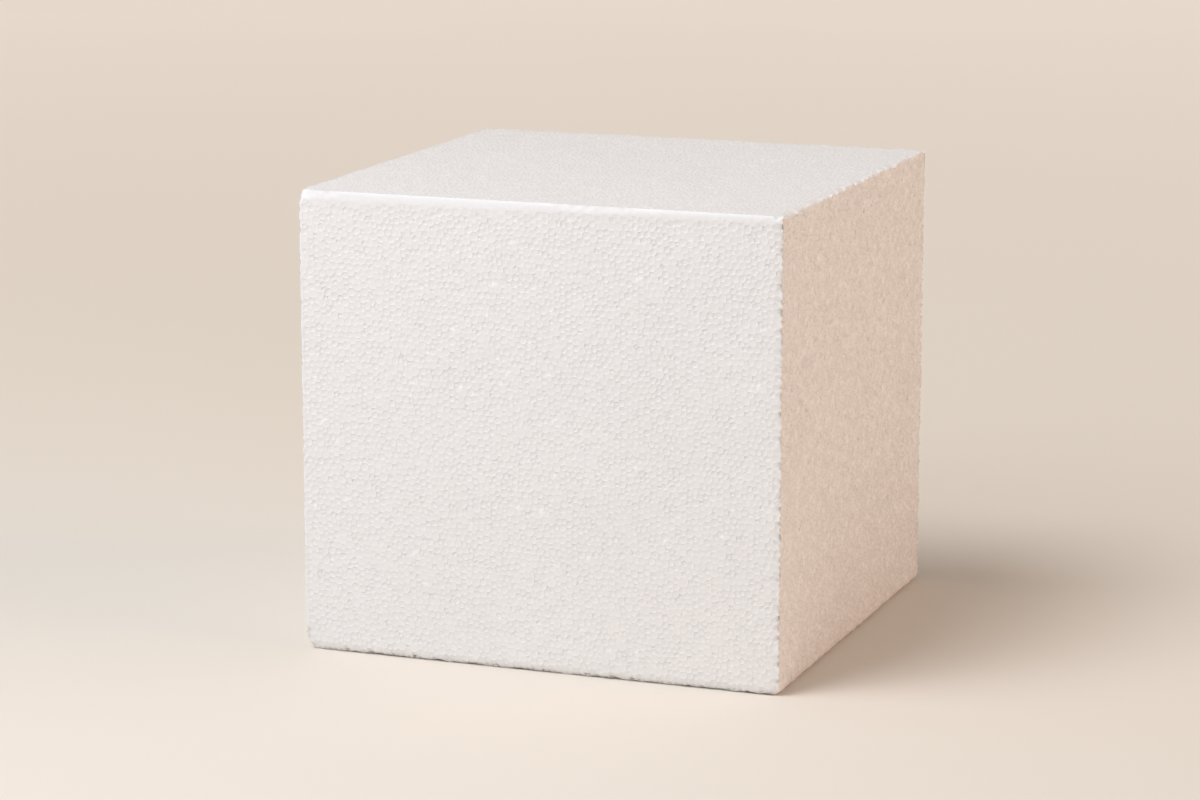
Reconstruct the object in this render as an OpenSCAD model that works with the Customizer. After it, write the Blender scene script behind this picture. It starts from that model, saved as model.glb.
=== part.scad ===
// Moulded foam block: one solid piece of fused beads, with flat faces and eased edges.
// Origin at the centre of the base. X runs along the width, Y from front to back, Z up.

/* [Block] */
// Width of the block, from its left side to its right side
block_w = 200; // [100:1:400]
// Depth of the block, from its front face to its back face
block_d = 195; // [100:1:400]
// Height of the block, from its base to its top face
block_h = 186.5; // [100:0.5:400]

/* [Edges] */
// Radius of the top front edge, which is rounder than the others
front_edge_r = 3; // [2.5:0.5:20]
// Radius of the other eleven edges and of the eight corners
edge_r = 1; // [0.5:0.5:2]

/* [Hidden] */

// Facets round a full turn, in the preview only
$fn = 48;

// How far a cutting shape reaches past the surface that it cuts
reach = front_edge_r;

// Distances between the centres of the edge roundings
core_w = block_w - 2 * edge_r;
core_d = block_d - 2 * edge_r;
core_h = block_h - 2 * edge_r;

// Rectangle about the origin, as large as w by h, with its corners eased
module eased_rectangle(w, h) {
    square([w - 2 * edge_r, h], center = true);
    square([w, h - 2 * edge_r], center = true);
    for (a = [-1, 1], b = [-1, 1])
        translate([a * (w / 2 - edge_r), b * (h / 2 - edge_r)]) circle(r = edge_r);
}

// Bar about the origin that runs from the front edges to the back edges
module front_to_back_bar() {
    rotate([90, 0, 0]) linear_extrude(core_d, center = true) eased_rectangle(block_w, block_h);
}

// Bar about the origin that runs from the left edges to the right edges
module side_to_side_bar() {
    rotate([90, 0, 90]) linear_extrude(core_w, center = true) eased_rectangle(block_d, block_h);
}

// Upright slot shape about the origin: the section of a post through its axis
module post_section() {
    square([2 * edge_r, core_h], center = true);
    for (b = [-1, 1]) translate([0, b * core_h / 2]) circle(r = edge_r);
}

// Upright post about the origin with a half ball at each end: one upright edge and its two corners
module corner_post() {
    rotate_extrude()
        intersection() {
            post_section();
            translate([0, -block_h / 2]) square([edge_r, block_h]);
        }
}

// Block about the origin with all its edges alike
module evenly_eased_block() {
    front_to_back_bar();
    side_to_side_bar();
    for (a = [-1, 1], b = [-1, 1])
        translate([a * core_w / 2, b * core_d / 2, 0]) corner_post();
}

// Square bar along the top front edge, which makes room for the rounder edge
module front_edge_notch() {
    translate([-block_w / 2 - reach, -block_d / 2 - reach, block_h / 2 - front_edge_r])
        cube([block_w + 2 * reach, front_edge_r + reach, front_edge_r + reach]);
}

// Quarter of a roller that fills the notch: the rounder top front edge with its two corners
module front_edge_roll() {
    translate([0, front_edge_r - block_d / 2, block_h / 2 - front_edge_r])
        rotate([90, 0, -90])
            rotate_extrude(angle = 90)
                intersection() {
                    eased_rectangle(2 * front_edge_r, block_w);
                    translate([0, -block_w / 2]) square([front_edge_r, block_w]);
                }
}

// Foam block, standing on its base
module foam_block() {
    color("whitesmoke")
        translate([0, 0, block_h / 2]) {
            difference() {
                evenly_eased_block();
                front_edge_notch();
            }
            front_edge_roll();
        }
}

foam_block();
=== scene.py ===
"""Foam block: the bead skin of a moulded foam block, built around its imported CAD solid.

Lengths are in metres. The frame is the CAD one: the origin is at the centre of the base, X runs along the
width, Y from the front face to the back face, and Z up.
"""

import logging
import math
import random
from collections.abc import Iterable
from dataclasses import dataclass, field
from enum import Enum

import bmesh
import bpy
from mathutils import Color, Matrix, Quaternion, Vector, noise


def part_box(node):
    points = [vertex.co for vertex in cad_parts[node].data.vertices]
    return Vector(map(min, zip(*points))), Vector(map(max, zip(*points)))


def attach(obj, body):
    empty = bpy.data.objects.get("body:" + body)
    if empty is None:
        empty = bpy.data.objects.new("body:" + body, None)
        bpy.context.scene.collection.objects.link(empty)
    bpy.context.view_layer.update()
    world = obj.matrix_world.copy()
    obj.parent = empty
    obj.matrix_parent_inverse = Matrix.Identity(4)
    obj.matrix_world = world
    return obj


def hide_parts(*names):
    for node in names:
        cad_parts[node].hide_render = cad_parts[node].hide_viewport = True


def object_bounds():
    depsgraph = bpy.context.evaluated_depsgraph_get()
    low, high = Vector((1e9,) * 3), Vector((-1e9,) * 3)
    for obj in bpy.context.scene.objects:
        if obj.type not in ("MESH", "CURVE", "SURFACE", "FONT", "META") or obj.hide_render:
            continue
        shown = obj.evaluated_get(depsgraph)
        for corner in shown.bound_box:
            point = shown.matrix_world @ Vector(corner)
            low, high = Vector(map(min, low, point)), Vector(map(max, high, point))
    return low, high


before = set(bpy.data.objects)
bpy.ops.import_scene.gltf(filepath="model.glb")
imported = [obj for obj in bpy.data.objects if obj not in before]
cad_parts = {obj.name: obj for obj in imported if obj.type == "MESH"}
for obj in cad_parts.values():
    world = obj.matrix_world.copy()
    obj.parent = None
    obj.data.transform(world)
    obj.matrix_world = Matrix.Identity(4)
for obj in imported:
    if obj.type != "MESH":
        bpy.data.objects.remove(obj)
CAD_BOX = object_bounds()

MILLIMETRE = 0.001
LOG = logging.getLogger("foam_block")

# The share of a length from which it counts as the whole length.
NEARLY_ALL = 0.999

# The distance under which two heights or depths count as the same.
CLOSE = 0.01 * MILLIMETRE

# Which side of the block a point is on, axis by axis: -1 for the lower, 1 for the upper, 0 for neither.
Sides = tuple[int, int, int]

# The sides of a point on the base that is on no edge.
UNDERSIDE: Sides = (0, 0, -1)

# The sides of a point along the top right edge that is at neither end of it.
TOP_RIGHT: Sides = (1, 0, 1)

# The sides that the top front edge lies between, along the depth and the height only.
TOP_FRONT = (-1, 1)

# The sockets of a Mix node that are used for colours.
MIX_SHARE, MIX_FIRST, MIX_SECOND, MIX_RESULT = 0, 6, 7, 2

# How fine the noise of the soft clouds is.
CLOUD_DETAIL = 3.0


class BeadMark(Enum):
    """Names of the mesh attributes that the bead skin carries for its finish, painted shade, painted
    highlights and painted glints among them.
    """

    RIM = "rim"
    HOLLOW = "hollow"
    TONE = "tone"
    # Painted shade in the gaps between beads and in the notches of the worn edges.
    GAP_SHADE = "painted_gap_shade"
    # Painted highlight along the block's edges and on the rounding of the top front edge.
    EDGE = "edge"
    # Painted glints: small white spots in place of highlights.
    PAINTED_GLINT = "painted_glint"


class LampRole(Enum):
    """Lamps of the studio."""

    KEY = "key_lamp"
    NEAR_KEY = "near_key_lamp"
    FILL = "fill_lamp"


# ------------------------------------------------------------------------------
# The form
# ------------------------------------------------------------------------------


@dataclass(frozen=True)
class BlockForm:
    """A block about the origin with crisp edges, apart from a rounder top front edge.

    That edge curves out of the front face and ends in a crease at the top face.

    Attributes:
        half: Half of the width, the depth and the height.
        front_radius: Radius of the top front edge, half way along it.
        taper: Share by which that radius is larger at the left end and smaller at the right end.
        crease: Angle in degrees between the curve and the top face, half way along.
        crease_turn: Degrees by which that angle is larger at the left end and smaller at the right end.
        crease_room: How far back the top face gives way to the crease, as a multiple of the curve's depth.
        calming: How fast the relief comes back below the rounding, for each of the rounding's own heights.
        calm_start: How far below the top face it starts to come back, in the same heights.
        least_calm: Least share of its relief that a bead keeps.
        band: How near a side a point counts as being on it, when the way out is worked out.
    """

    half: Vector
    front_radius: float
    taper: float = 0.48
    crease: float = 74.0
    crease_turn: float = 4.0
    crease_room: float = 4.0
    calming: float = 1.2
    calm_start: float = 0.5
    least_calm: float = 0.1
    band: float = 1.0 * MILLIMETRE

    @property
    def size(self) -> Vector:
        """Width, depth and height."""
        return 2.0 * self.half

    def sides(self, point: Vector) -> Sides:
        """Says which sides a point of the sharp block is on.

        Args:
            point: A point of the block without its rounding.

        Returns:
            The sides, axis by axis.
        """
        pairs = zip(point, self.half)
        return tuple(int(abs(p) > NEARLY_ALL * h) * int(math.copysign(1, p)) for p, h in pairs)

    def make_room(self, point: Vector) -> None:
        """Moves a point of the sharp block's top face back a little, so that the crease has room.

        Args:
            point: The point, which is changed. It stays where it is unless it is on the top face.
        """
        inset = self._inset(point.x, self.half.z)
        reach = self.crease_room * inset
        run = point.y + self.half.y
        if point.z > NEARLY_ALL * self.half.z and run < reach:
            point.y += inset * (1.0 - run / reach)

    def settle(self, point: Vector, sides: Sides) -> Vector:
        """Puts a point back on its sides, or on the rounding of the top front edge.

        Args:
            point: A point near the surface.
            sides: The sides that it belongs to.

        Returns:
            Its place on the surface.
        """
        place = Vector(s * h if s else p for p, s, h in zip(point, sides, self.half))
        place.y = max(place.y, self._inset(place.x, place.z) - self.half.y)
        return place

    def ease(self, place: Vector) -> Vector:
        """Moves a place beside the rounding of the top front edge onto it.

        Args:
            place: A place on or near the surface.

        Returns:
            The place on the rounding, or the same place if it doesn't belong there.
        """
        if self._by_rounding(place):
            return Vector((place.x, self._inset(place.x, place.z) - self.half.y, place.z))
        return place

    def outward(self, place: Vector) -> Vector:
        """Gives the direction out of the surface at a place on it, which is diagonal along an edge.

        Args:
            place: A place on the surface.

        Returns:
            A vector of length 1.
        """
        if self._by_rounding(place):
            radius, start = self._rounding(place.x)
            rise = min(1.0, (place.z - start) / radius)
            turn = max(0.0, abs(place.x) - self.half.x + self.band) / self.band
            return Vector((math.copysign(turn, place.x), -math.sqrt(1.0 - rise * rise), rise)).normalized()
        depths = (max(0.0, abs(p) - h + self.band) for p, h in zip(place, self.half))
        return Vector(math.copysign(d, p) for d, p in zip(depths, place)).normalized()

    def calm(self, place: Vector) -> float:
        """Gives the share of its relief that a bead keeps, which is little on and just below the rounding.

        Args:
            place: The bead's place.

        Returns:
            The share, from the least one to 1.
        """
        _, start = self._rounding(place.x)
        if place.y > -self.half.y + self._inset(place.x, self.half.z) + CLOSE:
            return 1.0
        below = (self.half.z - place.z) / (self.half.z - start)
        return min(1.0, max(self.least_calm, self.calming * (below - self.calm_start)))

    def near_edge(self, place: Vector, reach: float) -> bool:
        """Says whether a place is within a given reach of one of the twelve edges."""
        return sum(abs(p) > h - reach for p, h in zip(place, self.half)) > 1

    def _rounding(self, across: float) -> tuple[float, float]:
        """Gives the radius of the top front edge and the height at which it starts.

        Args:
            across: Place along the width.

        Returns:
            The radius and the height there.
        """
        share = across / self.half.x
        radius = self.front_radius * (1.0 - self.taper * share)
        return radius, self.half.z - radius * math.cos(math.radians(self.crease - self.crease_turn * share))

    def _inset(self, across: float, height: float) -> float:
        """Gives how far the rounding lies behind the plane of the front face.

        Args:
            across: Place along the width.
            height: Height of the place, from the middle of the block.

        Returns:
            The distance, which is 0 below the rounding.
        """
        radius, start = self._rounding(across)
        rise = height - start
        return radius - math.sqrt(radius * radius - rise * rise) if rise > 0.0 else 0.0

    def _by_rounding(self, place: Vector) -> bool:
        """Says whether a place belongs to the rounding of the top front edge.

        Args:
            place: A place on or near the surface.

        Returns:
            True from where the rounding starts up to the crease.
        """
        _, start = self._rounding(place.x)
        ends = self._inset(place.x, self.half.z) - self.half.y
        return place.z > start and place.y < ends + CLOSE


def front_edge_radius(node: str) -> float:
    """Measures the radius of a CAD block's top front edge.

    Args:
        node: Name of the CAD node.

    Returns:
        The distance from the node's front to the flat part of its top face.
    """
    lowest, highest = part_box(node)
    top = [v.co.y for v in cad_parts[node].data.vertices if v.co.z > highest.z - CLOSE]
    return min(top) - lowest.y


# ------------------------------------------------------------------------------
# The beads
# ------------------------------------------------------------------------------


@dataclass
class BeadSkin:
    """The skin of beads while it is being made.

    Attributes:
        form: The form that the beads cover.
        mesh: The mesh of the skin, whose first points are the middles of the beads.
        sides: The sides of each bead, by its index.
        marks: The layers of the mesh that hold its marks.
    """

    form: BlockForm
    mesh: bmesh.types.BMesh
    sides: list[Sides]
    marks: dict[BeadMark, bmesh.types.BMLayerItem] = field(default_factory=dict)

    def shared_sides(self, beads: Iterable[bmesh.types.BMVert]) -> Sides:
        """Finds the sides that beads have in common.

        Args:
            beads: The middles of the beads.

        Returns:
            The sides that all of them are on, axis by axis.
        """
        return tuple(a[0] if len(set(a)) == 1 else 0 for a in zip(*(self.sides[b.index] for b in beads)))

    def settle(self) -> None:
        """Puts every bead back on the form, and joins it to its nearest neighbours."""
        for bead, its_sides in zip(self.mesh.verts, self.sides):
            bead.co = self.form.settle(bead.co, its_sides)
        loose = [e for e in self.mesh.edges if sum(map(abs, self.shared_sides(e.verts))) < 2]
        bmesh.ops.beautify_fill(self.mesh, faces=self.mesh.faces, edges=loose, method="AREA")

    def sink(self, point: bmesh.types.BMVert, depth: float) -> None:
        """Moves a point straight into the form by the given depth."""
        point.co -= depth * self.form.outward(point.co)


@dataclass
class BeadPacking:
    """Beads packed side by side over the whole form, one mesh point to a bead.

    Attributes:
        pitch: Side of the square of surface that one bead takes, on average.
        scatter: How far a bead starts from its place in rows, as a share of the pitch.
        rounds: How often the beads settle between their neighbours.
        smoothing: Share of the way to the middle of its neighbours that a bead moves each time.
        seed: Seed of the scatter.
    """

    pitch: float = 2.46 * MILLIMETRE
    scatter: float = 0.45
    rounds: int = 2
    smoothing: float = 0.5
    seed: int = 11

    def pack(self, form: BlockForm) -> BeadSkin:
        """Packs the beads.

        Args:
            form: The form to cover.

        Returns:
            A skin whose mesh is closed and has the middles of the beads as its only points.
        """
        mesh = self._rows(form)
        skin = BeadSkin(form, mesh, [form.sides(bead.co) for bead in mesh.verts])
        chance = random.Random(self.seed)
        reach = self.scatter * self.pitch
        for bead in mesh.verts:
            form.make_room(bead.co)
            bead.co += Vector(chance.uniform(-reach, reach) for _ in range(3))
        skin.settle()
        axes = dict.fromkeys(("use_axis_x", "use_axis_y", "use_axis_z"), True)
        for _ in range(self.rounds):
            bmesh.ops.smooth_vert(mesh, verts=mesh.verts, factor=self.smoothing, **axes)
            skin.settle()
        return skin

    def _rows(self, form: BlockForm) -> bmesh.types.BMesh:
        """Cuts a box into squares of about one pitch, and these into triangles.

        Args:
            form: The form whose box it is.

        Returns:
            The mesh of triangles.
        """
        mesh = bmesh.new()
        bmesh.ops.create_cube(mesh, size=1.0)
        bmesh.ops.scale(mesh, vec=form.size, verts=mesh.verts)
        for axis in range(3):
            along = [e for e in mesh.edges if self._runs_along(e, axis)]
            cuts = round(form.size[axis] / self.pitch) - 1
            bmesh.ops.subdivide_edges(mesh, edges=along, cuts=cuts, use_grid_fill=True)
        bmesh.ops.triangulate(mesh, faces=mesh.faces, quad_method="ALTERNATE")
        mesh.verts.index_update()
        return mesh

    @staticmethod
    def _runs_along(edge: bmesh.types.BMEdge, axis: int) -> bool:
        """Says whether an edge runs along the given axis."""
        run = edge.verts[1].co - edge.verts[0].co
        return abs(run[axis]) > NEARLY_ALL * run.length


@dataclass(frozen=True)
class WornCorner:
    """A corner of the block whose beads are worn back.

    Attributes:
        sides: The corner, as the sides that meet there.
        reach: Distance from the corner at which the wear ends.
        depth: Depth of the wear at the corner itself.
    """

    sides: Sides
    reach: float
    depth: float

    def depth_at(self, place: Vector, form: BlockForm) -> float:
        """Gives the depth of the wear at a place.

        Args:
            place: A place on the form.
            form: The form that has the corner.

        Returns:
            The depth, which is 0 out of reach of the corner.
        """
        corner = Vector(s * h for s, h in zip(self.sides, form.half))
        near = max(0.0, 1.0 - (place - corner).length / self.reach)
        return self.depth * near * near


@dataclass
class BeadRelief:
    """The shallow relief of fused beads: a hollow in each bead, raised rims and a few pits.

    Attributes:
        hollow: Usual depth of a bead's hollow below its rims.
        hollow_spread: Share by which that depth varies from bead to bead.
        top_hollow: That depth on the top face, as a multiple of the usual one.
        right_hollow: The same on the right face, where the beads are opened the most.
        edge_hollow: Share of that depth that is left in the beads along the block's edges.
        step: Most that one bead lies below another.
        edge_step: Most that one bead lies below another along the block's edges.
        foot_step: Depth to which the beads along the bottom edges are worn.
        notch: Depth of the deepest notches in the block's edges, which lie between the beads.
        notch_reach: How far from a block's edge a notch goes.
        notch_length: Distance over which the edges turn from whole to ragged.
        notch_shares: Least and most that a notch has of the deepest notch's depth where the edge is whole.
        notch_growth: Share of that depth that is added where the edge is ragged.
        painted_notch_shade: How dark the painted shade is in a notch of the full depth along the worn
            edges, from 0 to 1.
        ragged: How ragged the edges are on average, from 0 to 1.
        ragged_swing: How much that varies along an edge.
        ragged_step: Share of a notch's depth by which a bead lies lower where the edge is ragged.
        tooth: Most by which a bead of the top right edge bends down over the right face.
        tooth_least: Share of that by which such a bead bends at least.
        tooth_share: Share of that edge's beads that bend down.
        mild_share: Share of the notches' depth along the edges that are hardly worn.
        whole_share: Share of the places between two beads along a worn edge that have no notch.
        mild_whole_share: The same along the edges that are hardly worn.
        swell: Depth of the broad unevenness of the faces.
        swell_length: Distance over which that unevenness turns.
        pit_depth: Depth of the deepest gaps between beads.
        pit_least: Share of that depth that a gap has at least.
        painted_pit_shade: How dark the painted shade in a gap near the bottom edges is, from 0 to 1.
        foot_pit_share: Share of the meeting points of three beads that are gaps, near the bottom edges.
        foot: How far up the bottom edges reach in this.
        painted_glint_share: Share of those meeting points that get a painted glint, a small white spot in
            place of a highlight.
        top_painted_glint_share: The same on the top face.
        right_painted_glint_share: The same on the right face.
        band_highlight: Share of the edges' painted highlight that the rounding of the top front edge gets.
        crisp_angle: Angle in degrees from which the faces at a block's edge meet in a crisp line.
        crisp_reach: How far from a block's edge such a line may be.
        square_on: Cosine from which a face of the mesh counts as lying on a side.
        worn_from: Share of the block's half size from which a place is at the worn right or bottom.
        worn_corners: Corners that are worn back.
        seed: Seed of the variation.
    """

    hollow: float = 0.30 * MILLIMETRE
    hollow_spread: float = 0.35
    top_hollow: float = 0.7
    right_hollow: float = 1.6
    edge_hollow: float = 0.2
    step: float = 0.10 * MILLIMETRE
    edge_step: float = 0.2 * MILLIMETRE
    foot_step: float = 0.9 * MILLIMETRE
    notch: float = 1.0 * MILLIMETRE
    notch_reach: float = 1.3 * MILLIMETRE
    notch_length: float = 2.2 * MILLIMETRE
    notch_shares: tuple[float, float] = (0.3, 0.6)
    notch_growth: float = 0.4
    painted_notch_shade: float = 0.6
    ragged: float = 0.3
    ragged_swing: float = 1.6
    ragged_step: float = 0.5
    tooth: float = 1.7 * MILLIMETRE
    tooth_least: float = 0.4
    tooth_share: float = 0.45
    mild_share: float = 0.4
    whole_share: float = 0.15
    mild_whole_share: float = 0.6
    swell: float = 0.25 * MILLIMETRE
    swell_length: float = 45.0 * MILLIMETRE
    pit_depth: float = 0.5 * MILLIMETRE
    pit_least: float = 0.5
    painted_pit_shade: float = 0.8
    foot_pit_share: float = 0.006
    foot: float = 9.0 * MILLIMETRE
    painted_glint_share: float = 0.005
    top_painted_glint_share: float = 0.02
    right_painted_glint_share: float = 0.18
    band_highlight: float = 0.6
    crisp_angle: float = 24.0
    crisp_reach: float = 2.0 * MILLIMETRE
    square_on: float = 0.85
    worn_from: float = 0.9
    worn_corners: tuple[WornCorner, ...] = (
        WornCorner((-1, -1, -1), 7.0 * MILLIMETRE, 2.0 * MILLIMETRE),
        WornCorner((1, -1, -1), 6.0 * MILLIMETRE, 1.2 * MILLIMETRE),
        WornCorner((-1, -1, 1), 8.0 * MILLIMETRE, 2.0 * MILLIMETRE),
    )
    seed: int = 23

    def press(self, skin: BeadSkin) -> None:
        """Gives a skin its rims and its relief, in which each bead becomes a fan of triangles.

        Args:
            skin: The skin, as it was packed.
        """
        chance = random.Random(self.seed)
        skin.marks = {mark: skin.mesh.verts.layers.float.new(mark.value) for mark in BeadMark}
        for bead, its_sides in zip(skin.mesh.verts, skin.sides):
            self._shape_bead(bead, its_sides, skin, chance)
        self._raise_rims(skin, chance)
        for bead in skin.mesh.verts[: len(skin.sides)]:
            skin.sink(bead, self.hollow * bead[skin.marks[BeadMark.HOLLOW]])
        self._crisp(skin)

    def _shape_bead(
        self, bead: bmesh.types.BMVert, its_sides: Sides, skin: BeadSkin, chance: random.Random
    ) -> None:
        """Marks a bead for its finish, and moves its middle to its depth.

        Args:
            bead: The middle of the bead.
            its_sides: The sides that it is on.
            skin: The skin.
            chance: Where the variation comes from.
        """
        marks, form = skin.marks, skin.form
        on_edge = sum(map(abs, its_sides)) > 1
        calm = form.calm(bead.co)
        share = calm * (self.edge_hollow if on_edge else self._opened(its_sides))
        # Beads on the block's edges get a painted highlight, and the rounding of the top front edge a share
        # of it.
        bead[marks[BeadMark.EDGE]] = float(on_edge) * calm + self.band_highlight * (1.0 - calm)
        bead[marks[BeadMark.HOLLOW]] = share * (1.0 + self.hollow_spread * chance.uniform(-1.0, 1.0))
        bead[marks[BeadMark.TONE]] = self._opened(its_sides) ** 2 * chance.uniform(-1.0, 1.0)
        step = calm * (self.edge_step if on_edge else self.step) * chance.random()
        if on_edge:
            step += self.ragged_step * self._ragged_at(bead.co) * self._notch_at(bead.co, form)
        if on_edge and its_sides[2] < 0:
            step += self.foot_step
        if its_sides == UNDERSIDE:
            bead[marks[BeadMark.HOLLOW]] = 0.0
            return
        wear = sum(corner.depth_at(bead.co, form) for corner in self.worn_corners)
        skin.sink(bead, step + wear + self._swell_at(bead.co))
        if its_sides == TOP_RIGHT and chance.random() < self.tooth_share:
            bead.co.z -= self.tooth * chance.uniform(self.tooth_least, 1.0)

    def _raise_rims(self, skin: BeadSkin, chance: random.Random) -> None:
        """Puts a rim point where three beads meet, and turns the mesh's edges onto the rims.

        Args:
            skin: The skin.
            chance: Where the variation comes from.
        """
        mesh = skin.mesh
        hidden = {f for f in mesh.faces if skin.shared_sides(f.verts)[2] < 0}
        joins = [
            e for e in mesh.edges
            if hidden.isdisjoint(e.link_faces) and not self._stays_whole(e, skin, chance)
        ]
        foot_edges = [e for e in mesh.edges if self._along_foot(skin.shared_sides(e.verts))]
        middles = len(mesh.verts)
        bmesh.ops.poke(mesh, faces=[f for f in mesh.faces if f not in hidden], center_mode="MEAN")
        bmesh.ops.rotate_edges(mesh, edges=joins)
        bmesh.ops.bisect_edges(mesh, edges=foot_edges, cuts=1)
        split = [f for f in mesh.faces if len(f.verts) > 3]
        bmesh.ops.triangulate(mesh, faces=split, quad_method="SHORT_EDGE", ngon_method="BEAUTY")
        mesh.verts.ensure_lookup_table()
        for index in range(middles, len(mesh.verts)):
            self._shape_rim(mesh.verts[index], skin, chance)

    def _shape_rim(self, point: bmesh.types.BMVert, skin: BeadSkin, chance: random.Random) -> None:
        """Marks a rim point for its finish and its painted shade or glint, and sinks it where it is a notch
        or a gap.

        Args:
            point: The rim point.
            skin: The skin.
            chance: Where the variation comes from.
        """
        marks, form = skin.marks, skin.form
        point.co = form.ease(point.co)
        point[marks[BeadMark.RIM]] = 1.0
        point[marks[BeadMark.HOLLOW]] = 0.0
        point[marks[BeadMark.EDGE]] = 0.0
        notch = self._notch_at(point.co, form)
        if notch and form.near_edge(point.co, self.notch_reach):
            share = chance.uniform(*self.notch_shares) + self.notch_growth * self._ragged_at(point.co)
            # Along the worn right and bottom edges the notch gets painted shade.
            if self._is_worn(point.co, form):
                point[marks[BeadMark.GAP_SHADE]] = self.painted_notch_shade * share * form.calm(point.co)
            skin.sink(point, share * notch)
        # A few rim points get a painted glint, most of them on the right face.
        point[marks[BeadMark.PAINTED_GLINT]] = float(chance.random() < self._painted_glint_share_at(point.co, form))
        # A gap near the bottom edges is sunk and gets painted shade.
        if point.co.z < self.foot - form.half.z and chance.random() < self.foot_pit_share:
            point[marks[BeadMark.GAP_SHADE]] = self.painted_pit_shade
            skin.sink(point, self.pit_depth * chance.uniform(self.pit_least, 1.0))

    def _crisp(self, skin: BeadSkin) -> None:
        """Smooths the beads, and leaves a crisp line wherever faces meet steeply at the block's edges.

        Args:
            skin: The skin with its rims.
        """
        limit = math.radians(self.crisp_angle)
        for face in skin.mesh.faces:
            face.smooth = True
        for edge in skin.mesh.edges:
            steep = edge.calc_face_angle(0.0) > limit
            if steep and all(skin.form.near_edge(v.co, self.crisp_reach) for v in edge.verts):
                edge.smooth = len({self._main_side(f) for f in edge.link_faces}) == 1

    def _opened(self, sides: Sides) -> float:
        """Gives the depth of the hollows on a bead's sides, as a multiple of the usual one."""
        usual = self.top_hollow if sides[2] > 0 else 1.0
        return self.right_hollow if sides[0] > 0 else usual

    def _stays_whole(self, edge: bmesh.types.BMEdge, skin: BeadSkin, chance: random.Random) -> bool:
        """Says whether two neighbouring beads share a stretch of a block's edge that has no notch.

        Args:
            edge: The mesh's edge between the middles of the two beads.
            skin: The skin.
            chance: Where the variation comes from.

        Returns:
            True if they do, as they always do along the top front edge and the top right one.
        """
        shared = skin.shared_sides(edge.verts)
        if sum(map(abs, shared)) < 2:
            return False
        share = self.whole_share if self._is_worn(edge.verts[0].co, skin.form) else self.mild_whole_share
        return shared[1:] == TOP_FRONT or shared == TOP_RIGHT or chance.random() < share

    def _is_worn(self, place: Vector, form: BlockForm) -> bool:
        """Says whether a place along the block's edges is on the right or at the bottom, which are worn."""
        return place.x > self.worn_from * form.half.x or place.z < -self.worn_from * form.half.z

    def _main_side(self, face: bmesh.types.BMFace) -> Sides:
        """Gives the side that a face of the mesh lies on.

        Args:
            face: A face of the mesh.

        Returns:
            The side. The slopes of the notches, which lie on none, go with the right one.
        """
        face.normal_update()
        side = tuple(round(n) if abs(n) > self.square_on else 0 for n in face.normal)
        return side if any(side) else (1, 0, 0)

    @staticmethod
    def _along_foot(sides: Sides) -> bool:
        """Says whether an edge of the mesh, given by its sides, runs along a bottom edge of the block."""
        return sides[2] < 0 and sides != UNDERSIDE

    def _ragged_at(self, place: Vector) -> float:
        """Says how ragged an edge is at a place, from 0 to 1."""
        return min(1.0, max(0.0, self.ragged + self.ragged_swing * noise.noise(place / self.notch_length)))

    def _notch_at(self, place: Vector, form: BlockForm) -> float:
        """Gives the depth of the deepest notches at a place.

        Args:
            place: A place on the form.
            form: The form that the beads cover.

        Returns:
            The depth, which is 0 along the top right edge, where there are teeth instead.
        """
        if max(form.half.x - place.x, form.half.z - place.z) < self.notch_reach:
            return 0.0
        return self.notch * form.calm(place) * (1.0 if self._is_worn(place, form) else self.mild_share)

    def _painted_glint_share_at(self, place: Vector, form: BlockForm) -> float:
        """Gives the share of the meeting points of three beads that get a painted glint at a place.

        Args:
            place: A place on the form.
            form: The form that the beads cover.

        Returns:
            The share, which is 0 on and just below the rounding of the top front edge.
        """
        if form.calm(place) < 1.0:
            return 0.0
        if place.x > form.half.x - self.notch_reach:
            return self.right_painted_glint_share
        return self.top_painted_glint_share if place.z > form.half.z - self.notch_reach else self.painted_glint_share

    def _swell_at(self, place: Vector) -> float:
        """Gives the depth of the broad unevenness at a place, from zero to the whole swell."""
        return self.swell * 0.5 * (1.0 + noise.noise(place / self.swell_length))


# ------------------------------------------------------------------------------
# Finishes
# ------------------------------------------------------------------------------


def srgb(red: int, green: int, blue: int) -> tuple[float, float, float, float]:
    """Turns an 8-bit display colour into the linear colour that a shader takes.

    Args:
        red: Red, 0 to 255.
        green: Green, 0 to 255.
        blue: Blue, 0 to 255.

    Returns:
        Linear red, green and blue, and an alpha of 1.
    """
    colour = Color((red / 255, green / 255, blue / 255)).from_srgb_to_scene_linear()
    return (*colour, 1.0)


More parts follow.
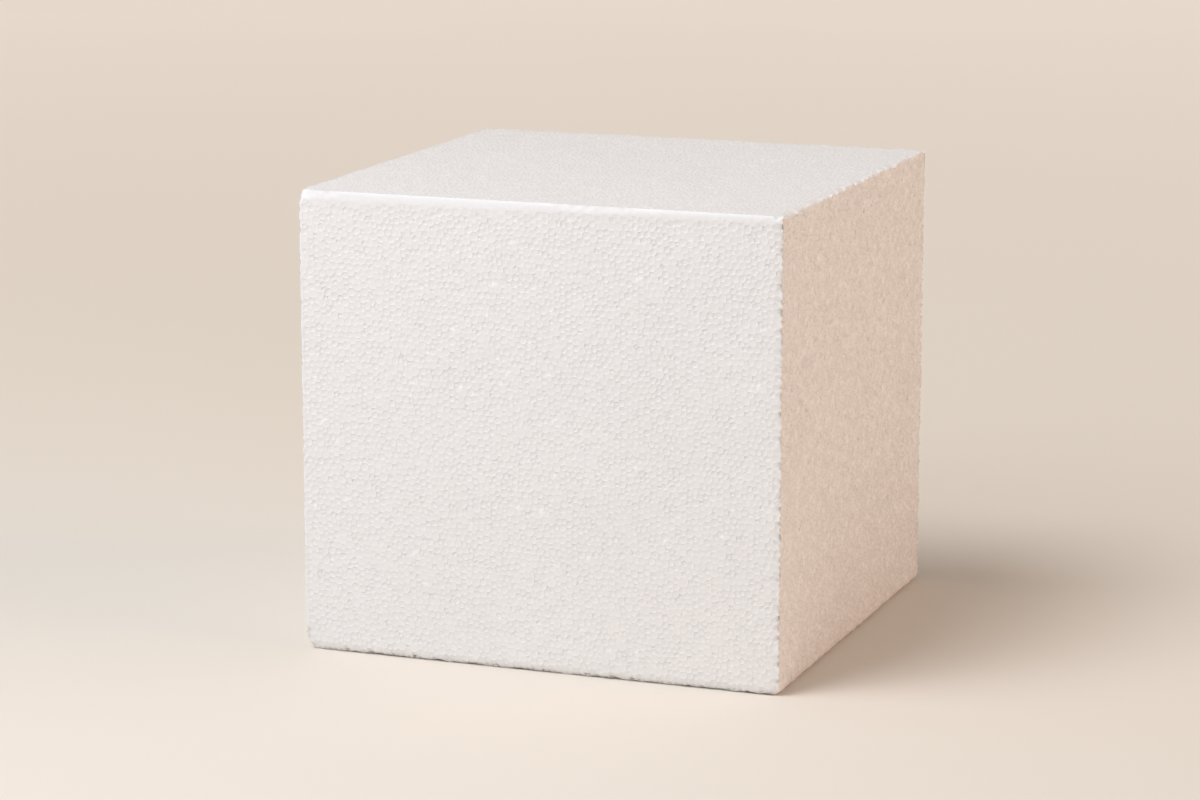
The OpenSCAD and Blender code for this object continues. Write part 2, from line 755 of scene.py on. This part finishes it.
class NodeBench:
    """Places and links the nodes of one node tree."""

    def __init__(self, tree: bpy.types.NodeTree) -> None:
        """Takes the tree to work on.

        Args:
            tree: A material's node tree, or a node group.
        """
        self.tree = tree

    def add(self, kind: str, **settings: object) -> bpy.types.Node:
        """Adds a node.

        Args:
            kind: Blender's name for the node's type.
            **settings: Values for the node's own properties.

        Returns:
            The new node.
        """
        node = self.tree.nodes.new(kind)
        for name, value in settings.items():
            setattr(node, name, value)
        return node

    def feed(self, socket: bpy.types.NodeSocket, source: object) -> None:
        """Links a socket to another socket, or sets its value.

        Args:
            socket: The input to feed.
            source: An output socket, or a plain value.
        """
        if isinstance(source, bpy.types.NodeSocket):
            self.tree.links.new(source, socket)
        else:
            socket.default_value = source

    def maths(self, operation: str, *values: object) -> bpy.types.NodeSocket:
        """Adds a Math node.

        Args:
            operation: Name of the operation.
            *values: Output sockets or numbers, in order.

        Returns:
            The result's socket.
        """
        node = self.add("ShaderNodeMath", operation=operation)
        for socket, value in zip(node.inputs, values):
            self.feed(socket, value)
        return node.outputs[0]

    def mix(self, share: object, first: object, second: object) -> bpy.types.NodeSocket:
        """Adds a colour mix.

        Args:
            share: How much of the second colour shows.
            first: First colour.
            second: Second colour.

        Returns:
            The mixed colour's socket.
        """
        node = self.add("ShaderNodeMix", data_type="RGBA")
        self.feed(node.inputs[MIX_SHARE], share)
        self.feed(node.inputs[MIX_FIRST], first)
        self.feed(node.inputs[MIX_SECOND], second)
        return node.outputs[MIX_RESULT]

    def scale(self, colour: object, level: object) -> bpy.types.NodeSocket:
        """Adds a node that multiplies a colour by a number.

        Args:
            colour: The colour.
            level: The number.

        Returns:
            The result's socket.
        """
        node = self.add("ShaderNodeVectorMath", operation="SCALE")
        self.feed(node.inputs[0], colour)
        self.feed(node.inputs["Scale"], level)
        return node.outputs[0]

    def mark(self, mark: BeadMark) -> bpy.types.NodeSocket:
        """Reads one of the bead skin's attributes."""
        return self.add("ShaderNodeAttribute", attribute_name=mark.value).outputs["Fac"]


def soft_mottle_group() -> bpy.types.ShaderNodeTree:
    """Builds the node group that varies a colour's brightness in soft clouds.

    Returns:
        The group. Its inputs are Color, Length, the size of a cloud, and Depth, the share of brightness
        that varies. Its output is Color.
    """
    group = bpy.data.node_groups.new("soft_mottle", "ShaderNodeTree")
    group.interface.new_socket("Color", in_out="INPUT", socket_type="NodeSocketColor")
    group.interface.new_socket("Length", in_out="INPUT", socket_type="NodeSocketFloat")
    group.interface.new_socket("Depth", in_out="INPUT", socket_type="NodeSocketFloat")
    group.interface.new_socket("Color", in_out="OUTPUT", socket_type="NodeSocketColor")
    bench = NodeBench(group)
    given = bench.add("NodeGroupInput").outputs
    place = bench.add("ShaderNodeTexCoord").outputs["Object"]
    clouds = bench.add("ShaderNodeTexNoise")
    bench.feed(clouds.inputs["Vector"], place)
    bench.feed(clouds.inputs["Scale"], bench.maths("DIVIDE", 1.0, given["Length"]))
    bench.feed(clouds.inputs["Detail"], CLOUD_DETAIL)
    swing = bench.maths("SUBTRACT", clouds.outputs[0], 0.5)
    level = bench.maths("MULTIPLY_ADD", swing, bench.maths("MULTIPLY", given["Depth"], 2.0), 1.0)
    result = bench.add("NodeGroupOutput")
    bench.feed(result.inputs[0], bench.scale(given["Color"], level))
    return group


@dataclass(frozen=True)
class Mottle:
    """How a finish varies in soft clouds.

    Attributes:
        length: Size of a cloud.
        depth: Share of the brightness that varies.
    """

    length: float
    depth: float

    def over(
        self, bench: NodeBench, group: bpy.types.ShaderNodeTree, colour: object
    ) -> bpy.types.NodeSocket:
        """Places the group over a colour.

        Args:
            bench: The material's nodes.
            group: The soft mottle group.
            colour: The colour to vary.

        Returns:
            The varied colour's socket.
        """
        node = bench.add("ShaderNodeGroup", node_tree=group)
        bench.feed(node.inputs["Color"], colour)
        bench.feed(node.inputs["Length"], self.length)
        bench.feed(node.inputs["Depth"], self.depth)
        return node.outputs[0]


@dataclass(frozen=True)
class FoamFinish:
    """White bead foam: matt bowls and brighter rims, with painted warm shade in the gaps and notches,
    painted highlights along the edges and painted glints.

    Attributes:
        bowl: Colour of a bead's hollow.
        rim: Colour of the rims.
        edge: Painted highlight along the block's edges and, in part, on the rounding of the top front edge.
        gap: Painted warm shade deep in a gap between beads and in the notches of the worn edges.
        painted_glint: Colour of the painted glints, small white spots that stand in for highlights on the
            rims.
        painted_glint_sharpness: Power that draws those painted glints small.
        gap_shade_sharpness: Power that draws the painted shade of the gaps and notches small.
        roughness: Roughness of the bowls.
        rim_roughness: Roughness of the rims, which are glossier.
        tone_depth: Share of brightness that varies from bead to bead.
        mottle: Soft clouds over the whole block.
        rim_height: Height of the rims in the bump.
        rim_sharpness: Power that draws the rims thin.
        rim_crispness: Shape of the bowls, from 0 for evenly round ones to 1 for flat ones with steep rims.
        grain: Height of the fine wrinkles in a bead's skin.
        grain_length: Size of those wrinkles.
    """

    bowl: tuple[float, ...] = srgb(238, 237, 236)
    rim: tuple[float, ...] = srgb(243, 242, 241)
    # The painted highlight along the edges.
    edge: tuple[float, ...] = srgb(242, 245, 248)
    # The painted shade of the gaps and notches.
    gap: tuple[float, ...] = srgb(176, 146, 122)
    # The painted glints.
    painted_glint: tuple[float, ...] = srgb(255, 255, 255)
    painted_glint_sharpness: float = 1.2
    gap_shade_sharpness: float = 1.6
    roughness: float = 0.38
    rim_roughness: float = 0.24
    tone_depth: float = 0.012
    mottle: Mottle = Mottle(28.0 * MILLIMETRE, 0.02)
    rim_height: float = 0.178 * MILLIMETRE
    rim_sharpness: float = 3.0
    rim_crispness: float = 0.8
    grain: float = 0.012 * MILLIMETRE
    grain_length: float = 0.5 * MILLIMETRE

    def material(self, group: bpy.types.ShaderNodeTree) -> bpy.types.Material:
        """Builds the material.

        Args:
            group: The soft mottle group.

        Returns:
            The material for a bead skin.
        """
        material = bpy.data.materials.new("bead_foam")
        material.use_nodes = True
        bench = NodeBench(material.node_tree)
        shader = material.node_tree.nodes["Principled BSDF"]
        thin_rim = bench.maths("POWER", bench.mark(BeadMark.RIM), self.rim_sharpness)
        gloss = bench.maths("MULTIPLY_ADD", thin_rim, self.rim_roughness - self.roughness, self.roughness)
        bench.feed(shader.inputs["Base Color"], self._colour(bench, group, thin_rim))
        bench.feed(shader.inputs["Roughness"], gloss)
        bench.feed(shader.inputs["Normal"], self._relief(bench))
        return material

    def _colour(
        self, bench: NodeBench, group: bpy.types.ShaderNodeTree, thin_rim: bpy.types.NodeSocket
    ) -> bpy.types.NodeSocket:
        """Colours bowls and rims, paints highlights along the edges, glints and shade in the gaps and
        notches, and adds the tone of each bead.

        Args:
            bench: The material's nodes.
            group: The soft mottle group.
            thin_rim: Where the thin rims are, from 0 to 1.

        Returns:
            The colour's socket.
        """
        colour = bench.mix(thin_rim, self.bowl, self.rim)
        # Painted highlight along the edges and on the rounding of the top front edge.
        colour = bench.mix(bench.mark(BeadMark.EDGE), colour, self.edge)
        # Painted glints: small white spots in place of highlights.
        glint_spot = bench.maths("POWER", bench.mark(BeadMark.PAINTED_GLINT), self.painted_glint_sharpness)
        colour = bench.mix(glint_spot, colour, self.painted_glint)
        # Painted shade in the gaps and notches.
        small_gap_shade = bench.maths("POWER", bench.mark(BeadMark.GAP_SHADE), self.gap_shade_sharpness)
        colour = bench.mix(small_gap_shade, colour, self.gap)
        level = bench.maths("MULTIPLY_ADD", bench.mark(BeadMark.TONE), self.tone_depth, 1.0)
        return self.mottle.over(bench, group, bench.scale(colour, level))

    def _relief(self, bench: NodeBench) -> bpy.types.NodeSocket:
        """Shapes each bowl and its thin rim, and adds the fine wrinkles of the skin.

        Args:
            bench: The material's nodes.

        Returns:
            The normal's socket.
        """
        rim = bench.mark(BeadMark.RIM)
        steeper = bench.maths("MULTIPLY_ADD", rim, self.rim_crispness, 1.0)
        curve = bench.maths("MULTIPLY_ADD", rim, steeper, 1.0)
        bowl = bench.maths("MULTIPLY", bench.maths("MULTIPLY", bench.mark(BeadMark.HOLLOW), curve), -1.0)
        shaped = bench.add("ShaderNodeBump")
        bench.feed(shaped.inputs["Distance"], self.rim_height)
        bench.feed(shaped.inputs["Height"], bowl)
        wrinkles = bench.add("ShaderNodeTexNoise")
        bench.feed(wrinkles.inputs["Vector"], bench.add("ShaderNodeTexCoord").outputs["Object"])
        bench.feed(wrinkles.inputs["Scale"], 1.0 / self.grain_length)
        grained = bench.add("ShaderNodeBump")
        bench.feed(grained.inputs["Distance"], self.grain)
        bench.feed(grained.inputs["Height"], wrinkles.outputs[0])
        bench.feed(grained.inputs["Normal"], shaped.outputs[0])
        return grained.outputs[0]


@dataclass(frozen=True)
class PaperFinish:
    """Plain pale paper for the studio floor.

    Attributes:
        colour: Colour of the paper under the block.
        far_colour: Colour of the paper far from the block, which gets less of the near lamp's light.
        far: Distance from the block at which the paper has its far colour.
        roughness: Roughness of the paper.
        shine: How much the paper shines, where 0.5 is usual.
        mottle: Soft clouds over the paper.
    """

    colour: tuple[float, ...] = srgb(226, 219, 209)
    far_colour: tuple[float, ...] = srgb(246, 239, 229)
    far: float = 2.5
    roughness: float = 0.9
    shine: float = 0.1
    mottle: Mottle = Mottle(400.0 * MILLIMETRE, 0.01)

    def material(self, group: bpy.types.ShaderNodeTree) -> bpy.types.Material:
        """Builds the material.

        Args:
            group: The soft mottle group.

        Returns:
            The material for the floor.
        """
        material = bpy.data.materials.new("studio_paper")
        material.use_nodes = True
        bench = NodeBench(material.node_tree)
        shader = material.node_tree.nodes["Principled BSDF"]
        length = bench.add("ShaderNodeVectorMath", operation="LENGTH")
        bench.feed(length.inputs[0], bench.add("ShaderNodeTexCoord").outputs["Object"])
        share = bench.maths("MINIMUM", bench.maths("DIVIDE", length.outputs["Value"], self.far), 1.0)
        colour = bench.mix(share, self.colour, self.far_colour)
        bench.feed(shader.inputs["Base Color"], self.mottle.over(bench, group, colour))
        bench.feed(shader.inputs["Roughness"], self.roughness)
        bench.feed(shader.inputs["Specular IOR Level"], self.shine)
        return material


# ------------------------------------------------------------------------------
# Assemblies
# ------------------------------------------------------------------------------


def finished_object(
    name: str, mesh: bmesh.types.BMesh, material: bpy.types.Material
) -> bpy.types.Object:
    """Makes a mesh an object of the scene, at the origin, and frees it.

    Args:
        name: Name of the object and of its data.
        mesh: The mesh, with everything in its place.
        material: What it is made of.

    Returns:
        The object.
    """
    data = bpy.data.meshes.new(name)
    mesh.to_mesh(data)
    mesh.free()
    data.materials.append(material)
    thing = bpy.data.objects.new(name, data)
    bpy.context.scene.collection.objects.link(thing)
    return thing


@dataclass
class FoamBlock:
    """The moulded foam block.

    Attributes:
        node: Name of the CAD node that the block stands for.
        slot: Name of the record's material slot, which nothing here uses.
        edge_growth: Radius of the top front edge as a multiple of the solid's, which has no crease.
        packing: How the beads are packed.
        relief: How the beads stand out.
        finish: What the foam looks like.
    """

    node: str = "foam_block"
    slot: str = "foam"
    edge_growth: float = 5.5
    packing: BeadPacking = field(default_factory=BeadPacking)
    relief: BeadRelief = field(default_factory=BeadRelief)
    finish: FoamFinish = FoamFinish()

    def build(self, group: bpy.types.ShaderNodeTree) -> bpy.types.Object:
        """Builds and dresses the block.

        Args:
            group: The soft mottle group.

        Returns:
            The finished piece.
        """
        lowest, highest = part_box(self.node)
        form = BlockForm((highest - lowest) / 2, self.edge_growth * front_edge_radius(self.node))
        skin = self.packing.pack(form)
        self.relief.press(skin)
        mesh = skin.mesh
        bmesh.ops.translate(mesh, vec=(lowest + highest) / 2, verts=mesh.verts)
        bmesh.ops.recalc_face_normals(mesh, faces=mesh.faces)
        piece = finished_object("bead_skin", mesh, self.finish.material(group))
        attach(piece, "root")
        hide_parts(self.node)
        return piece


@dataclass
class StudioFloor:
    """A wide round sheet of paper that the block stands on.

    Attributes:
        reach: Radius of the floor, in block widths.
        sides: Corners of the round sheet.
        finish: What the paper looks like.
    """

    reach: float = 40.0
    sides: int = 96
    finish: PaperFinish = PaperFinish()

    def build(self, block_width: float, group: bpy.types.ShaderNodeTree) -> bpy.types.Object:
        """Lays the floor.

        Args:
            block_width: Width of the block.
            group: The soft mottle group.

        Returns:
            The floor.
        """
        mesh = bmesh.new()
        bmesh.ops.create_circle(mesh, cap_ends=True, segments=self.sides, radius=self.reach * block_width)
        floor = finished_object("studio_floor", mesh, self.finish.material(group))
        return floor


@dataclass(frozen=True)
class SoftLamp:
    """A round soft lamp.

    Attributes:
        role: Which lamp this is.
        azimuth: Degrees round from the front, counted towards the right side.
        elevation: Degrees above the floor.
        width: Width of the lamp, in degrees as seen from the block.
        strength: Light that falls on a sheet facing the lamp at the block, where 1 renders white as white.
        colour: Colour of the light.
        distance: Distance from the block, in block widths, or 0 for a lamp so far away that it lights the
            floor evenly.
    """

    role: LampRole
    azimuth: float
    elevation: float
    width: float
    strength: float
    colour: tuple[float, float, float] = (1.0, 1.0, 1.0)
    distance: float = 0.0

    def build(self, target: Vector, block_width: float) -> bpy.types.Object:
        """Hangs the lamp.

        Args:
            target: The point that the lamp faces.
            block_width: Width of the block.

        Returns:
            The lamp.
        """
        data = self._near_light(block_width) if self.distance else self._far_light()
        data.color = self.colour
        lamp = bpy.data.objects.new(self.role.value, data)
        bpy.context.scene.collection.objects.link(lamp)
        towards = direction(self.azimuth, self.elevation)
        lamp.location = target + self.distance * block_width * towards
        lamp.rotation_mode = "QUATERNION"
        lamp.rotation_quaternion = (-towards).to_track_quat("-Z", "Y")
        return lamp

    def _far_light(self) -> bpy.types.Light:
        """Makes the light of a lamp that is very far away.

        Returns:
            The light.
        """
        data = bpy.data.lights.new(self.role.value, "SUN")
        data.angle = math.radians(self.width)
        data.energy = math.pi * self.strength
        return data

    def _near_light(self, block_width: float) -> bpy.types.Light:
        """Makes the light of a lamp in the studio, whose power makes up for its distance.

        Args:
            block_width: Width of the block.

        Returns:
            The light.
        """
        distance = self.distance * block_width
        data = bpy.data.lights.new(self.role.value, "AREA")
        data.shape = "DISK"
        data.size = 2.0 * distance * math.tan(math.radians(self.width / 2))
        data.energy = self.strength * (math.pi * distance) ** 2
        return data


def direction(azimuth: float, elevation: float) -> Vector:
    """Gives the direction from the block towards a place round it.

    Args:
        azimuth: Degrees round from the front, counted towards the right side.
        elevation: Degrees above the floor.

    Returns:
        A vector of length 1.
    """
    turn, rise = math.radians(azimuth), math.radians(elevation)
    return Vector((math.sin(turn) * math.cos(rise), -math.cos(turn) * math.cos(rise), math.sin(rise)))


@dataclass
class Studio:
    """The floor, the lamps and the soft light from all round.

    Attributes:
        floor: The floor.
        lamps: The lamps.
        ambient: Strength of the light from all round.
        ambient_colour: Colour of that light.
    """

    floor: StudioFloor = field(default_factory=StudioFloor)
    lamps: tuple[SoftLamp, ...] = (
        SoftLamp(LampRole.KEY, azimuth=-50.0, elevation=60.0, width=34.0, strength=0.475,
                 colour=(1.0, 0.98, 0.955)),
        SoftLamp(LampRole.NEAR_KEY, azimuth=-27.0, elevation=38.0, width=34.0, strength=0.34,
                 colour=(0.79, 0.85, 1.0), distance=4.5),
        SoftLamp(LampRole.FILL, azimuth=98.0, elevation=16.0, width=46.0, strength=0.322,
                 colour=(1.0, 0.56, 0.345)),
    )
    ambient: float = 0.372
    ambient_colour: tuple[float, ...] = srgb(255, 252, 247)

    def build(self, target: Vector, block_width: float, group: bpy.types.ShaderNodeTree) -> None:
        """Sets up the studio.

        Args:
            target: The point that the lamps face.
            block_width: Width of the block.
            group: The soft mottle group.
        """
        floor = self.floor.build(block_width, group)
        LOG.info("laid %s", floor.name)
        for lamp in self.lamps:
            LOG.info("hung %s", lamp.build(target, block_width).name)
        world = bpy.data.worlds.new("soft_surround")
        world.use_nodes = True
        background = world.node_tree.nodes["Background"]
        background.inputs["Color"].default_value = self.ambient_colour
        background.inputs["Strength"].default_value = self.ambient
        bpy.context.scene.world = world


@dataclass
class ProductCamera:
    """A long lens a little above the block, and round towards its right side.

    Attributes:
        azimuth: Degrees round from the front, counted towards the right side.
        elevation: Degrees above the floor.
        roll: Degrees by which the picture's right side is lowered.
        distance: Distance from the point looked at, in block widths.
        aim_across: Place of that point along the width, in block widths from the middle.
        aim_height: Height of that point, in block heights from the base.
        lens: Focal length in millimetres.
        farthest: Distance up to which the camera sees.
    """

    azimuth: float = 20.678
    elevation: float = 11.766
    roll: float = -0.052
    distance: float = 7.661
    aim_across: float = -0.0513
    aim_height: float = 0.4803
    lens: float = 111.22
    farthest: float = 100.0

    def build(self, lowest: Vector, highest: Vector) -> bpy.types.Object:
        """Places the camera and makes it the scene's own.

        Args:
            lowest: Lowest corner of the block's box.
            highest: Highest corner of the block's box.

        Returns:
            The camera.
        """
        size = highest - lowest
        aim = (lowest + highest) / 2
        aim.x += self.aim_across * size.x
        aim.z = lowest.z + self.aim_height * size.z
        back = direction(self.azimuth, self.elevation)
        data = bpy.data.cameras.new("product_camera")
        data.lens = self.lens
        data.clip_end = self.farthest
        camera = bpy.data.objects.new("product_camera", data)
        camera.location = aim + self.distance * size.x * back
        camera.rotation_mode = "QUATERNION"
        level = (-back).to_track_quat("-Z", "Y")
        camera.rotation_quaternion = level @ Quaternion((0.0, 0.0, 1.0), math.radians(self.roll))
        bpy.context.scene.collection.objects.link(camera)
        bpy.context.scene.camera = camera
        return camera


def main() -> None:
    """Builds the camera, the studio and the block, and reports each piece."""
    logging.basicConfig(level=logging.INFO, format="%(name)s: %(message)s")
    bpy.context.scene.view_settings.view_transform = "Standard"
    lowest, highest = CAD_BOX
    camera = ProductCamera().build(lowest, highest)
    LOG.info("placed %s", camera.name)
    group = soft_mottle_group()
    Studio().build((lowest + highest) / 2, highest.x - lowest.x, group)
    piece = FoamBlock().build(group)
    LOG.info("built %s with %d triangles", piece.name, len(piece.data.polygons))


if __name__ == "__main__":
    main()
